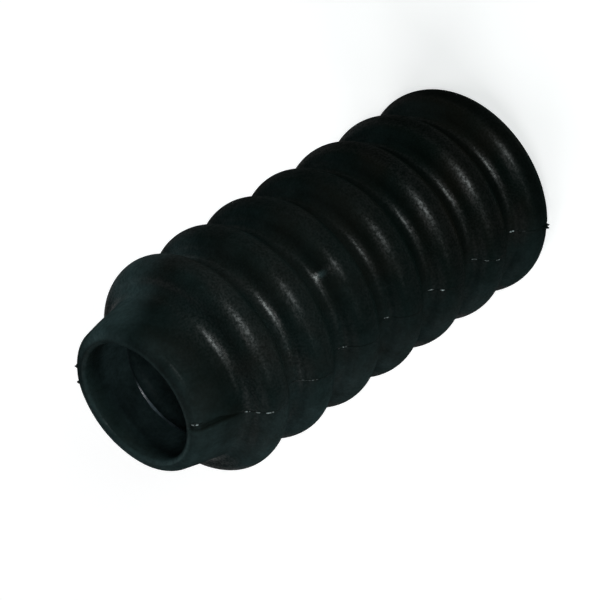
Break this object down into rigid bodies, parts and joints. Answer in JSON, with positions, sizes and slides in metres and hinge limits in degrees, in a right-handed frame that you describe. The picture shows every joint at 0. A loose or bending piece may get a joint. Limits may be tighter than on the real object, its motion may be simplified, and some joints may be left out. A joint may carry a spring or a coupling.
{
  "type": "rubber bellows boot",
  "caption": "Moulded rubber bellows boot, open at both ends: round folds between a narrow tapered neck that grips a rod and a wide beaded end that seats on a housing.",
  "frame": {"origin": "centre of the wide end's flat face, on the boot's axis", "axes": "+Z along the boot's axis, from the wide end towards the narrow neck; X and Y are square to it"},
  "size_m": [0.035, 0.035, 0.0771],
  "materials": {
    "rubber": "black moulded rubber, fine grain, soft sheen"
  },
  "bodies": {
    "root": {"bellows_boot": "rubber"}
  },
  "joints": []
}
